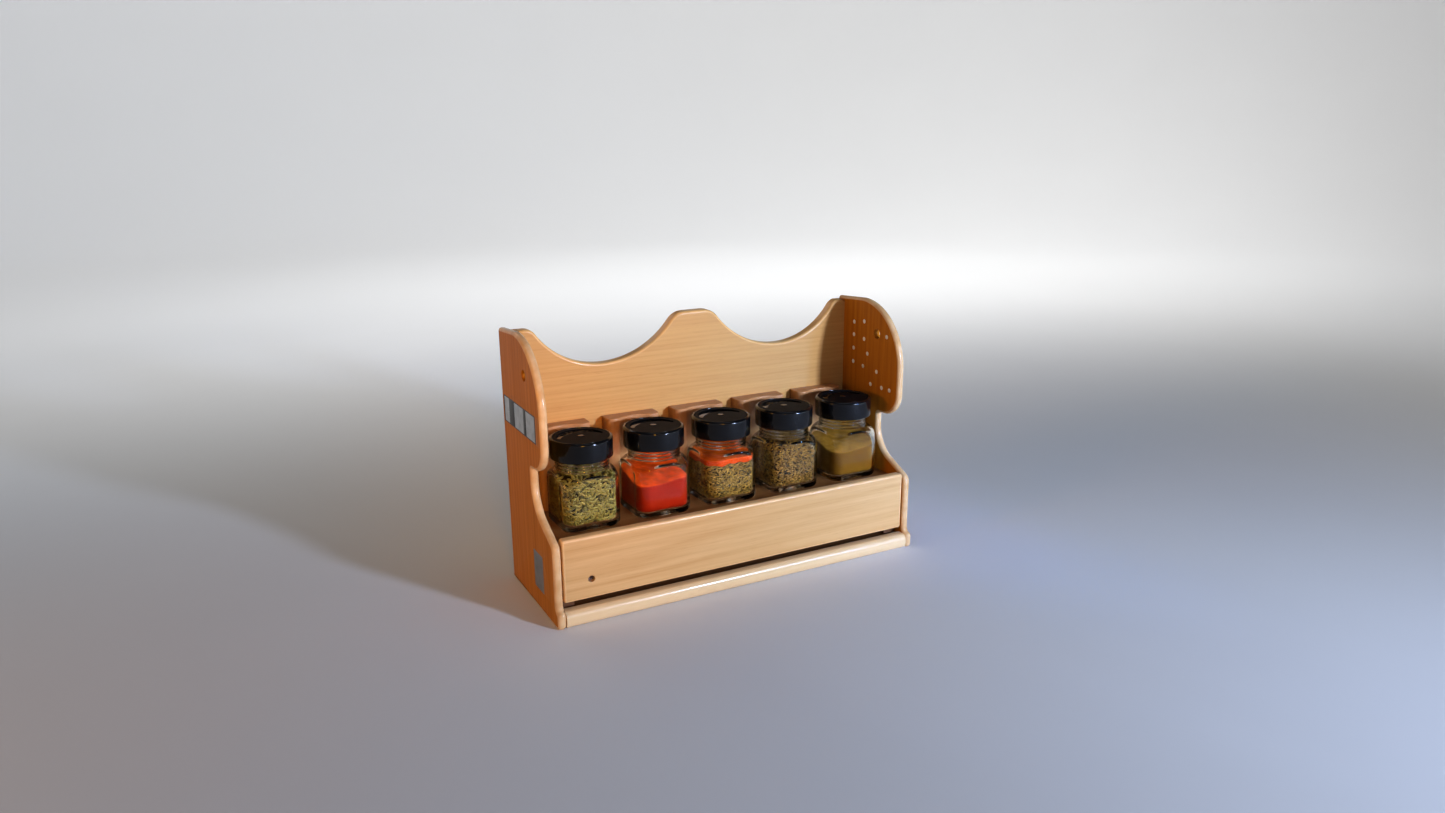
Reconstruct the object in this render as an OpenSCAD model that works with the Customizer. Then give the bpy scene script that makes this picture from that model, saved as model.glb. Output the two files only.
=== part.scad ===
// Counter-top spice rack: a scalloped wooden stand with a drawer under the shelf
// and five square glass shaker jars. +X to the right, +Y to the back, +Z up.
// The origin is the centre of the footprint, on the surface the rack stands on.

/* [Rack] */
// Overall width across the two side boards
rack_w = 380; // [374:1:392]
// Overall depth, from the back face to the nose of the feet
rack_d = 131; // [131:1:134]
// Thickness of a side board
side_t = 7.5; // [7:0.5:9]
// Thickness of the back panel
back_t = 12; // [10:0.5:12]
// Thickness of the base board
base_t = 12; // [10:0.5:12]
// Height of the shelf's top face
shelf_z = 71; // [70:0.5:72]
// Thickness of the shelf
shelf_t = 6; // [5:0.5:6]

/* [Back panel outline] */
// Height of the middle crest
crest_z = 244.5; // [238:0.5:250]
// Half width of the flat on the crest
crest_half = 10; // [8:1:14]
// Corner radius of the crest
crest_r = 20; // [14:1:22]
// Height of the lowest point of each scallop
dip_z = 202.5; // [195:0.5:208]
// Distance of the lowest point from the outline's middle
dip_x = 97; // [90:1:102]
// Height of the horn beside each side board
horn_z = 241.5; // [236:0.5:244]
// Distance of the horn's shoulder from the outline's middle
horn_x = 172.2; // [168:0.2:174]
// Sideways offset of the whole outline from the middle
crest_shift = 3.5; // [0:0.5:4]
// Radius of the horn's shoulder
horn_r = 12; // [8:1:14]

/* [Drawer] */
// Thickness of the drawer front
front_t = 10; // [9:0.5:10]
// Height of the drawer front's lower edge
front_z0 = 20.5; // [20.5:0.5:22]
// Height of the drawer front's upper edge, the lip in front of the jars
front_z1 = 78.5; // [76:0.5:80]
// Gap at each end of the drawer front
front_gap = 1.2; // [0.8:0.1:1.5]

/* [Jars] */
// Number of jars
jar_count = 5; // [5:1:5]
// Distance from one jar to the next
jar_pitch = 71; // [70:0.5:71]
// Width of a jar's square body
jar_w = 56; // [55:0.5:57]
// Corner radius of a jar's body
jar_r = 12.5; // [11:0.5:13]
// Height of the glass, from the foot to the rim
jar_h = 77.5; // [77:0.5:78]
// How far the row of jars stands to the right of the middle
jar_shift = 2; // [0:0.5:3]
// Wall of the glass body
glass_t = 2.5; // [2:0.1:3]
// Diameter of the cap
cap_d = 57; // [56.6:0.1:58]
// Height of the cap's skirt, deck and rim together
cap_h = 18.5; // [18.5:0.1:19]

/* [Hidden] */
$fn = 64;
eps = 0.01;
cut = 1;
inner_x = rack_w / 2 - side_t;
back_y = rack_d / 2;
panel_y = back_y - back_t;
jar_i = [1:jar_count];

// Side board outline, as distances forward of the back face
side_top_z = 244;
lobe_c = [43, 182];
lobe_r = 65;
lobe_corner_r = 24;
lobe_corner_z = 156.5;
waist_u = 75;
notch_r = 3;
notch_z = 132;
curl_r = 34;
curl_z = 119;
slope_a = 66;
brow_r = 9;
foot_u = 124.5;
foot_r = 4.5;
foot_nose_z = 12;
foot_flare_z = 21;
hole_u = 70;
hole_z = 213.5;
hole_r = 5;

// Shelf, rail, runners and hidden joints
groove = 3;
front_u0 = 113;
shelf_u1 = 112.7;
rail_u0 = 119;
rail_h = 15;
rail_r = 5;
runner_w = 14;
runner_h = 7.5;
dowel_r = 3;
dowel_hole_r = 3.05;
dowel_in_side = 6;
dowel_in_board = 14;
back_dowel_z = [30, 95, 150, 205];
base_dowel_u = [35, 95];
rail_dowel_u = 125;

// Jar rests on the back panel
rest_w = 54;
rest_d = 18;
rest_z = 151.5;
rest_r = 6;
scoop_r = 30;
scoop_deep = 5;

// Inlaid trim on the side boards
strip_u = [5, 95];
strip_z = [158, 183];
strip_t = 1.5;
tile_t = 0.7;
tile_u = [[7, 21], [36, 62], [69, 92.5]];
tile_edge = 1;
pin_r = 1.1;
pin_len = 6;
pin_at = [[14, 160.8], [49, 180.2], [72, 161.2]];
plate_u = [70, 95];
plate_z = [19.5, 55];
plate_t = 1.2;
plate_pin = [82, 48];
plug_r = 2.5;
plug_hole_r = 2.55;
plug_deep = 4;
plug_proud = 0.4;
plug_at = [
    [30.5, 220], [30.5, 206.5], [30.5, 192], [30.5, 177.5],
    [48, 223], [48.5, 204.5], [55, 190], [48, 175.5],
    [62, 159], [81, 159], [94, 159], [86.5, 213], [71.5, 174]
];

// Drawer
drawer_gap = 0.3;
wall_t = 6;
drawer_x = inner_x - 2.5;
drawer_z0 = base_t + runner_h + drawer_gap;
drawer_z1 = 62;
drawer_u0 = 24;
bottom_t = 3;
bottom_z = drawer_z0 + 2.5;
bottom_in = 3;
block_w = 24;
block_d = 14;
block_z1 = 56;
screw_x = -155.6;
screw_z = 38.7;
screw_head_r = 3;
screw_sink = 3.5;
screw_shank_r = 1.7;
screw_len = 19;
peg_z = [33, 50];
peg_len = 20;

// Jars
jar_u = 68;
jar_y = back_y - jar_u;
shoulder_h = 37;
neck_r = 23.6;
neck_foot_h = 51.5;
heel_r = 4;
floor_t = 4.5;
bead_h = [54.2, 57.4, 60.6];
bead_r = 1.2;
bead_out = 0.9;
bore_r = 20.8;
fill_gap = 0.2;
corner_reach = (jar_w / 2 - jar_r) * sqrt(2) + jar_r;

// Caps
cap_r = cap_d / 2;
skirt_h = 63;
cap_bore_r = 25.6;
seal_t = 0.9;
seal_w = 3.6;
deck_z = shelf_z + jar_h + seal_t;
deck_t = 1.6;
dial_z = deck_z + deck_t + 0.1;
dial_t = 1;
dial_r = cap_bore_r - 0.35;
stud_r = 2;
stud_hole_r = 2.06;
stud_head_r = 3.4;
stud_head_t = 0.3;
window_r = 21.6;
window_off = 10.5;
sift_r = 1.25;
outer_row_r = 18;
inner_row_r = 14;
outer_row_a = [-48:16:48];
inner_row_a = [-24:16:24];

// Which way the sifter holes of each cap lie: 0 under the window, 180 closed off
sift_turn = [0, 180, 180, 0, 0];
// Fill height at the front and at the back of each jar, above the shelf
fill_front = [50, 33, 39.5, 48.5, 32];
fill_back = [50, 47, 39.5, 48.5, 46];
top_layer_front = 44;
top_layer_back = 46;

wood = "#D09A5E";
dark_wood = "#B9824A";
steel = "#B9C0C6";
black = "#15161A";
glass = [0.85, 0.93, 0.9, 0.35];
spice_colour = ["#9AA05A", "#B5340F", "#8C8450", "#7F7A46", "#9A8746"];

// Points along a round stretch of an outline
function arc(c, r, a0, a1, n = 10) =
    [for (i = [0:n]) let (a = a0 + (a1 - a0) * i / n) c + r * [cos(a), sin(a)]];

// Radius of the hollow arc that leaves a corner of radius r and is level at (a, b) from its centre
function hollow_r(a, b, r) = (a * a + b * b - r * r) / (2 * (r - b));

function rest_x(i) = (i - (jar_count + 1) / 2) * jar_pitch;
function jar_x(i) = rest_x(i) + jar_shift;

// Side board outline in (distance forward, height)
function side_outline() =
    let (brow_c = [foot_u - brow_r, 0])
    let (curl_c = [waist_u + curl_r, curl_z])
    let (curl_end = curl_c + curl_r * [-cos(slope_a), -sin(slope_a)])
    let (brow_top_u = brow_c[0] + brow_r * cos(slope_a))
    let (brow_top_z = curl_end[1] - (brow_top_u - curl_end[0]) / tan(slope_a))
    let (brow_z = brow_top_z - brow_r * sin(slope_a))
    let (nose_c = rack_d - foot_r)
    let (lobe_front = lobe_c[0] + lobe_r)
    concat(
        [[0, 0]],
        arc([nose_c, foot_r], foot_r, -90, 0, 6),
        arc([nose_c, foot_nose_z], foot_r, 0, 50, 5),
        arc([foot_u + 6, foot_flare_z], 6, 230, 180, 5),
        arc([brow_c[0], brow_z], brow_r, 0, slope_a, 8),
        arc(curl_c, curl_r, 180 + slope_a, 180, 12),
        arc([waist_u + notch_r, notch_z - notch_r], notch_r, 180, 90, 5),
        arc([lobe_front - lobe_corner_r, lobe_corner_z], lobe_corner_r, -90, 0, 12),
        arc(lobe_c, lobe_r, 0, 90, 24),
        [[0, side_top_z]]
    );

// A plate cut to an outline in (distance forward, height), from x0 to x1
module cut_side(points, x0, x1) {
    translate([x0, 0, 0])
        rotate([90, 0, 90])
            linear_extrude(x1 - x0)
                polygon([for (p = points) [back_y - p[0], p[1]]]);
}

module side_blank(x0) {
    difference() {
        cut_side(side_outline(), x0, x0 + side_t);
        translate([x0 - cut, back_y - hole_u, hole_z])
            rotate([0, 90, 0])
                cylinder(r = hole_r, h = side_t + 2 * cut);
    }
}

// A box between two corners, given as x, distance forward and height
module slab(x, u, z) {
    translate([x[0], back_y - u[1], z[0]])
        cube([x[1] - x[0], u[1] - u[0], z[1] - z[0]]);
}

// A square with round corners, centred
module round_square(w, d, r) {
    square([w - 2 * r, d], center = true);
    square([w, d - 2 * r], center = true);
    for (x = [-1, 1], y = [-1, 1])
        translate([x * (w / 2 - r), y * (d / 2 - r)])
            circle(r);
}

// A bar along X with round long edges
module round_bar(x0, x1, u, z, r) {
    translate([x0, back_y - (u[0] + u[1]) / 2, (z[0] + z[1]) / 2])
        rotate([90, 0, 90])
            linear_extrude(x1 - x0)
                round_square(u[1] - u[0], z[1] - z[0], r);
}

module pin_x(x0, x1, u, z, r) {
    translate([x0, back_y - u, z])
        rotate([0, 90, 0])
            cylinder(r = r, h = x1 - x0);
}

// Dowels that cross from a board at x < inner_x into each side board
module dowel_pair(u, z, r) {
    for (s = [-1, 1]) {
        x0 = s > 0 ? inner_x - dowel_in_board : -inner_x - dowel_in_side;
        pin_x(x0, x0 + dowel_in_board + dowel_in_side, u, z, r);
    }
}

module base_dowel_set(r) {
    for (u = base_dowel_u)
        dowel_pair(u, base_t / 2, r);
    dowel_pair(rail_dowel_u, rail_h / 2, r);
}

module back_dowel_set(r) {
    for (z = back_dowel_z)
        dowel_pair(back_t / 2, z, r);
}

module side_joints() {
    slab([-inner_x - groove, inner_x + groove], [back_t, shelf_u1], [shelf_z - shelf_t, shelf_z]);
    base_dowel_set(dowel_hole_r);
    back_dowel_set(dowel_hole_r);
}

module left_side() {
    color(wood)
        difference() {
            side_blank(-rack_w / 2);
            side_joints();
            slab([-rack_w / 2 - cut, -rack_w / 2 + strip_t], strip_u, strip_z);
            slab([-rack_w / 2 - cut, -rack_w / 2 + plate_t], plate_u, plate_z);
            pin_holes(-rack_w / 2);
        }
}

module pin_holes(x0) {
    for (p = pin_at)
        pin_x(x0 - cut, x0 + pin_len, p[0], p[1], pin_r);
    pin_x(x0 - cut, x0 + pin_len, plate_pin[0], plate_pin[1], pin_r);
}

module right_side() {
    color(wood)
        difference() {
            side_blank(inner_x);
            side_joints();
            for (p = plug_at)
                pin_x(inner_x - cut, inner_x + plug_deep, p[0], p[1], plug_hole_r);
        }
}

// Right half of the back panel's scalloped top, from its own middle outwards
function scallop() =
    let (in_a = dip_x - crest_half)
    let (in_b = dip_z - (crest_z - crest_r))
    let (in_r = hollow_r(in_a, in_b, crest_r))
    let (in_turn = atan2(in_b + in_r, in_a))
    let (out_a = horn_x - dip_x)
    let (out_b = dip_z - (horn_z - horn_r))
    let (out_r = hollow_r(out_a, out_b, horn_r))
    let (out_turn = atan2(out_b + out_r, out_a))
    concat(
        arc([crest_half, crest_z - crest_r], crest_r, 90, in_turn, 8),
        arc([dip_x, dip_z + in_r], in_r, 180 + in_turn, 270, 12),
        arc([dip_x, dip_z + out_r], out_r, 270, 360 - out_turn, 12),
        arc([horn_x, horn_z - horn_r], horn_r, 180 - out_turn, 90, 8)
    );

module back_panel() {
    half = scallop();
    n = len(half);
    outline = concat(
        [[inner_x, 0], [inner_x, horn_z]],
        [for (i = [0:n - 1]) half[n - 1 - i] + [crest_shift, 0]],
        [for (p = half) [crest_shift - p[0], p[1]]],
        [[-inner_x, horn_z], [-inner_x, 0]]
    );
    color(wood)
        difference() {
            translate([0, back_y, 0])
                rotate([90, 0, 0])
                    linear_extrude(back_t)
                        polygon(outline);
            back_dowel_set(dowel_hole_r);
        }
}

module shelf() {
    color(wood)
        slab([-inner_x - groove, inner_x + groove], [back_t, shelf_u1], [shelf_z - shelf_t, shelf_z]);
}

module base_board() {
    color(wood)
        difference() {
            slab([-inner_x, inner_x], [back_t, rail_u0], [0, base_t]);
            base_dowel_set(dowel_hole_r);
        }
}

module front_rail() {
    color(wood)
        difference() {
            union() {
                round_bar(-inner_x, inner_x, [rail_u0, rack_d], [0, rail_h], rail_r);
                slab([-inner_x, inner_x], [rail_u0, rail_u0 + rail_r], [0, rail_h]);
            }
            base_dowel_set(dowel_hole_r);
        }
}

module drawer_runner(x0) {
    color(dark_wood)
        slab([x0, x0 + runner_w], [back_t, front_u0 - cut], [base_t, base_t + runner_h]);
}

module base_dowels() {
    color(dark_wood)
        base_dowel_set(dowel_r);
}

module back_dowels() {
    color(dark_wood)
        back_dowel_set(dowel_r);
}

// A block glued to the back panel, with a hollow for the back of the jar
module jar_rest(i) {
    color(wood)
        translate([rest_x(i), panel_y, shelf_z])
            linear_extrude(rest_z - shelf_z)
                difference() {
                    union() {
                        translate([0, -rest_d / 2])
                            round_square(rest_w, rest_d, rest_r);
                        translate([-rest_w / 2, -rest_r])
                            square([rest_w, rest_r]);
                    }
                    translate([0, scoop_deep - rest_d - scoop_r])
                        circle(scoop_r, $fn = 96);
                }
}

module side_strip() {
    x0 = -rack_w / 2;
    color(black)
        difference() {
            slab([x0, x0 + strip_t], strip_u, strip_z);
            for (t = tile_u)
                slab([x0 - cut, x0 + tile_t], t, [strip_z[0] + tile_edge, strip_z[1] - tile_edge]);
            pin_holes(x0);
        }
}

module side_tiles() {
    x0 = -rack_w / 2;
    color(steel)
        difference() {
            for (t = tile_u)
                slab([x0, x0 + tile_t], t, [strip_z[0] + tile_edge, strip_z[1] - tile_edge]);
            pin_holes(x0);
        }
}

module side_tile_pins() {
    x0 = -rack_w / 2;
    color("gold")
        for (p = pin_at)
            pin_x(x0, x0 + pin_len, p[0], p[1], pin_r);
}

module label_plate() {
    x0 = -rack_w / 2;
    color(steel)
        difference() {
            slab([x0, x0 + plate_t], plate_u, plate_z);
            pin_holes(x0);
        }
}

module label_plate_pin() {
    x0 = -rack_w / 2;
    color("gold")
        pin_x(x0, x0 + pin_len, plate_pin[0], plate_pin[1], pin_r);
}

module hole_plugs() {
    color("white")
        for (p = plug_at)
            pin_x(inner_x - plug_proud, inner_x + plug_deep, p[0], p[1], plug_r);
}

// The screw, or the hole it sits in, whose head end starts mouth nearer the face
module front_screw(head_r, mouth) {
    translate([screw_x, back_y - front_u0 - front_t, screw_z])
        rotate([-90, 0, 0]) {
            translate([0, 0, screw_sink - mouth])
                cylinder(r = head_r, h = 2 + mouth);
            translate([0, 0, screw_sink + 1])
                cylinder(r = screw_shank_r, h = screw_len - 1);
        }
}

// Wooden pegs between the drawer front and the drawer sides
module peg_set(r) {
    for (s = [-1, 1], z = peg_z)
        translate([s * (drawer_x - wall_t / 2), back_y - front_u0 - peg_len / 3, z])
            rotate([-90, 0, 0])
                cylinder(r = r, h = peg_len);
}

module drawer_front() {
    half = inner_x - front_gap;
    color(wood)
        difference() {
            round_bar(-half, half, [front_u0, front_u0 + front_t], [front_z0, front_z1], 2.5);
            front_screw(screw_head_r, 2 * screw_sink);
            peg_set(1.55);
        }
}

module drawer_side(x0) {
    color(dark_wood)
        difference() {
            slab([x0, x0 + wall_t], [drawer_u0, front_u0], [drawer_z0, drawer_z1]);
            slab([-drawer_x + bottom_in, drawer_x - bottom_in], [drawer_u0 - cut, front_u0 + cut],
                [bottom_z, bottom_z + bottom_t]);
            peg_set(1.55);
        }
}

module drawer_back() {
    color(dark_wood)
        slab([wall_t - drawer_x, drawer_x - wall_t], [drawer_u0, drawer_u0 + wall_t],
            [bottom_z + bottom_t, drawer_z1]);
}

module drawer_bottom() {
    color(dark_wood)
        slab([-drawer_x + bottom_in, drawer_x - bottom_in], [drawer_u0, front_u0],
            [bottom_z, bottom_z + bottom_t]);
}

module drawer_corner_block() {
    x0 = wall_t - drawer_x;
    color(dark_wood)
        difference() {
            slab([x0, x0 + block_w], [front_u0 - block_d, front_u0], [bottom_z + bottom_t, block_z1]);
            front_screw(screw_head_r, screw_sink);
        }
}

module drawer_front_screw() {
    color(steel)
        front_screw(screw_head_r, 0);
}

module drawer_pegs() {
    color(dark_wood)
        peg_set(1.5);
}

// Everything inside the round profile, as (radius, height) points turned about the jar's axis
module turned(points) {
    rotate_extrude($fn = 96)
        polygon(points);
}

function shoulder(reach, top_r, top_h) =
    let (rise = top_h - shoulder_h)
    let (run = reach - top_r)
    [for (k = [0:8]) let (a = 90 * k / 8) [top_r + run * pow(cos(a), 0.8), shoulder_h + rise * sin(a)]];

// The glass outside: a square body with a turned heel, shoulder, neck and beads
module jar_outside() {
    intersection() {
        linear_extrude(jar_h)
            round_square(jar_w, jar_w, jar_r);
        turned(concat(
            [[0, 0]],
            arc([corner_reach - heel_r + 0.1, heel_r], heel_r, -90, 0, 5),
            shoulder(corner_reach + 0.1, neck_r, neck_foot_h),
            [[neck_r, jar_h], [0, jar_h]]
        ));
    }
    for (h = bead_h)
        translate([0, 0, h])
            rotate_extrude($fn = 96)
                translate([neck_r + bead_out - bead_r, 0])
                    circle(bead_r, $fn = 24);
}

// The hollow inside, drawn in by gap on every side, up to height top
module jar_hollow(gap, top) {
    w = jar_w - 2 * glass_t - 2 * gap;
    reach = corner_reach - glass_t - gap;
    neck = bore_r - gap;
    intersection() {
        translate([0, 0, floor_t + gap])
            linear_extrude(top - floor_t - gap)
                round_square(w, w, jar_r - glass_t - gap);
        turned(concat(
            [[0, floor_t + gap]],
            arc([reach - heel_r, floor_t + gap + heel_r], heel_r, -90, 0, 5),
            shoulder(reach, neck, neck_foot_h - glass_t - gap),
            [[neck, top], [0, top]]
        ));
    }
}

module jar_glass(i) {
    color(glass)
        translate([jar_x(i), jar_y, shelf_z])
            difference() {
                jar_outside();
                jar_hollow(0, jar_h + cut);
            }
}

// All the space under a sloping level, front and back heights given above the shelf
module under_level(front, back) {
    rotate([90, 0, 90])
        translate([0, 0, -jar_w])
            linear_extrude(2 * jar_w)
                polygon([
                    [-jar_w, 0],
                    [jar_w, 0],
                    [jar_w, back + (back - front) / 2],
                    [-jar_w, front - (back - front) / 2]
                ]);
}

module spice(i) {
    color(spice_colour[i - 1])
        translate([jar_x(i), jar_y, shelf_z])
            intersection() {
                jar_hollow(fill_gap, jar_h - 10);
                under_level(fill_front[i - 1], fill_back[i - 1]);
            }
}

module spice_3_top() {
    color(spice_colour[1])
        translate([jar_x(3), jar_y, shelf_z])
            difference() {
                intersection() {
                    jar_hollow(fill_gap, jar_h - 10);
                    under_level(top_layer_front, top_layer_back);
                }
                under_level(fill_front[2], fill_back[2]);
            }
}

module seal_ring(i) {
    color("white")
        translate([jar_x(i), jar_y, shelf_z + jar_h])
            difference() {
                cylinder(r = neck_r + 0.6, h = seal_t);
                translate([0, 0, -cut])
                    cylinder(r = neck_r + 0.6 - seal_w, h = seal_t + 2 * cut);
            }
}

// A screw cap: skirt, deck with sifter holes, rim and the stud that the dial turns on
module cap(i) {
    color(black)
        translate([jar_x(i), jar_y, 0])
            rotate([0, 0, sift_turn[i - 1]])
                difference() {
                    union() {
                        difference() {
                            cap_blank();
                            translate([0, 0, deck_z + deck_t])
                                cylinder(r = cap_bore_r, h = cap_h);
                            translate([0, 0, shelf_z + skirt_h - cut])
                                cylinder(r = cap_bore_r, h = deck_z - shelf_z - skirt_h + cut);
                        }
                        translate([0, 0, deck_z + eps])
                            cylinder(r = stud_r, h = dial_z + dial_t + 0.1 - deck_z, $fn = 32);
                        translate([0, 0, dial_z + dial_t + 0.1])
                            cylinder(r = stud_head_r, h = stud_head_t, $fn = 32);
                    }
                    sifter_holes();
                }
}

module cap_blank() {
    edge = 1.4;
    translate([0, 0, shelf_z + skirt_h])
        turned(concat(
            [[0, 0], [cap_r - 0.6, 0], [cap_r, 0.6]],
            arc([cap_r - edge, cap_h - edge], edge, 0, 90, 5),
            [[0, cap_h]]
        ));
}

module sifter_holes() {
    for (a = outer_row_a)
        sifter_hole(outer_row_r, a);
    for (a = inner_row_a)
        sifter_hole(inner_row_r, a);
}

module sifter_hole(r, a) {
    rotate([0, 0, a])
        translate([0, r, deck_z - cut])
            cylinder(r = sift_r, h = deck_t + 2 * cut, $fn = 24);
}

// A disc with a crescent window at the back
module shaker_dial(i) {
    color(black)
        translate([jar_x(i), jar_y, dial_z])
            linear_extrude(dial_t)
                difference() {
                    circle(dial_r, $fn = 96);
                    circle(stud_hole_r, $fn = 32);
                    difference() {
                        circle(window_r, $fn = 96);
                        translate([0, -window_off])
                            circle(window_r, $fn = 96);
                    }
                }
}

left_side();
right_side();
back_panel();
shelf();
base_board();
front_rail();
drawer_runner(-inner_x);  // drawer_runner_left
drawer_runner(inner_x - runner_w);  // drawer_runner_right
base_dowels();
back_dowels();
side_strip();
side_tiles();
side_tile_pins();
label_plate();
label_plate_pin();
hole_plugs();
drawer_front();
drawer_side(-drawer_x);  // drawer_side_left
drawer_side(drawer_x - wall_t);  // drawer_side_right
drawer_back();
drawer_bottom();
drawer_corner_block();
drawer_front_screw();
drawer_pegs();
spice_3_top();
for (i = jar_i) {
    jar_rest(i);
    jar_glass(i);
    spice(i);
    seal_ring(i);
    cap(i);
    shaker_dial(i);
}
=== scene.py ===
"""Spice rack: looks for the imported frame. Metres, +X right, +Y back, +Z up, origin under the middle."""

import math

import bmesh
import bpy
import numpy as np
from mathutils import Matrix, Vector, geometry


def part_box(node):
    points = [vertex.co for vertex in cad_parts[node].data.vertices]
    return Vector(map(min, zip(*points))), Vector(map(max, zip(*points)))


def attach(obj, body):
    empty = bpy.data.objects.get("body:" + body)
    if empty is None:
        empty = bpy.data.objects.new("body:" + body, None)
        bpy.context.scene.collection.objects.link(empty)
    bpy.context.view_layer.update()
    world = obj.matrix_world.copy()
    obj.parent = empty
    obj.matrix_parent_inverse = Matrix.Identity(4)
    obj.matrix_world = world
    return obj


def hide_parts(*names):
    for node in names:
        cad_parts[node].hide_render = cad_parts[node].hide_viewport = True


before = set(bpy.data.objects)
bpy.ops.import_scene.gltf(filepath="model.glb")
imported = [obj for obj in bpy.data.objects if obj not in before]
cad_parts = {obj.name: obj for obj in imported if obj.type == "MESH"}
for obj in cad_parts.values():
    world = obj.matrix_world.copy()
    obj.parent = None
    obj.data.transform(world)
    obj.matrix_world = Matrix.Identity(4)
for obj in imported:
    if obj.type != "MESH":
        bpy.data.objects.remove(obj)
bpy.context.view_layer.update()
MM = 0.001
JARS = range(1, 6)

# ---- places taken from the frame

side_lo, side_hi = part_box("left_side")
panel_lo, panel_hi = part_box("back_panel")
INNER_X = panel_hi.x
BACK_Y = panel_hi.y


def jar_centre(i):
    lo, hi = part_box(f"jar_glass_{i}")
    return Vector(((lo.x + hi.x) / 2, (lo.y + hi.y) / 2, lo.z))


# ---- mesh helpers


def cos_of(degrees):
    return math.cos(math.radians(degrees))


def sin_of(degrees):
    return math.sin(math.radians(degrees))


def arc(cx, cy, r, a0, a1, n):
    """Points along a round stretch, angles in degrees."""
    angles = [a0 + (a1 - a0) * k / n for k in range(n + 1)]
    return [(cx + r * cos_of(a), cy + r * sin_of(a)) for a in angles]


def circle(cx, cy, r, n):
    return arc(cx, cy, r, 0, 360 - 360 / n, n - 1)


def turns(n):
    """n angles evenly round a circle, in radians."""
    return np.arange(n) * 2 * math.pi / n


def row_at(r, angles, h):
    """A row of points from polar radii and heights; each may be one number or one for each angle."""
    return np.column_stack([r * np.cos(angles), r * np.sin(angles), np.broadcast_to(h, len(angles))])


def round_rect(lo, hi, r, n=5):
    """A rectangle with round corners, from its lowest to its highest corner."""
    (x0, y0), (x1, y1) = lo, hi
    return (arc(x1 - r, y0 + r, r, -90, 0, n) + arc(x1 - r, y1 - r, r, 0, 90, n)
            + arc(x0 + r, y1 - r, r, 90, 180, n) + arc(x0 + r, y0 + r, r, 180, 270, n))


def clean(points, gap=1e-6):
    """The outline without doubled points."""
    kept = []
    for p in points:
        if not kept or math.dist(p, kept[-1]) > gap:
            kept.append(p)
    if math.dist(kept[0], kept[-1]) <= gap:
        kept.pop()
    return np.array(kept)


def area(points):
    x, y = points[:, 0], points[:, 1]
    return 0.5 * float(np.sum(x * np.roll(y, -1) - np.roll(x, -1) * y))


def inset(points, d):
    """The outline moved to its left by d, with mitred corners."""
    forward = np.roll(points, -1, 0) - points
    forward /= np.linalg.norm(forward, axis=1)[:, None]
    left = np.stack([-forward[:, 1], forward[:, 0]], 1)
    both = left + np.roll(left, 1, 0)
    both /= np.maximum(np.sum(both * both, 1) / 2, 0.3)[:, None]
    return points + both * d


# columns that turn (across, up, thick) into (x, y, z) and back, by the axis a piece is thick along
TO_FRAME = {"x": (2, 0, 1), "y": (0, 2, 1), "z": (0, 1, 2)}
FROM_FRAME = {"x": (1, 2, 0), "y": (0, 2, 1), "z": (0, 1, 2)}


def show(name, data):
    o = bpy.data.objects.new(name, data)
    bpy.context.scene.collection.objects.link(o)
    return o


def make_object(name, verts, faces, material, edge=None, tint=None, fix=True):
    """A smooth mesh. edge and tint are one number per point, which the materials read."""
    mesh = bpy.data.meshes.new(name)
    mesh.from_pydata([tuple(v) for v in verts], [], faces)
    for key, values in (("edge", edge), ("tint", tint)):
        if values is not None:
            layer = mesh.attributes.new(key, "FLOAT", "POINT")
            layer.data.foreach_set("value", np.asarray(values, np.float32))
    if fix:
        bm = bmesh.new()
        bm.from_mesh(mesh)
        bmesh.ops.recalc_face_normals(bm, faces=bm.faces)
        bm.to_mesh(mesh)
        bm.free()
    mesh.polygons.foreach_set("use_smooth", [True] * len(mesh.polygons))
    mesh.materials.append(material)
    return show(name, mesh)


def wall(a, b, n):
    """Quads between two rings of n points that start at points a and b."""
    return [(a + j, a + (j + 1) % n, b + (j + 1) % n, b + j) for j in range(n)]


HOLE_FLARE = 0.12


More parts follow.
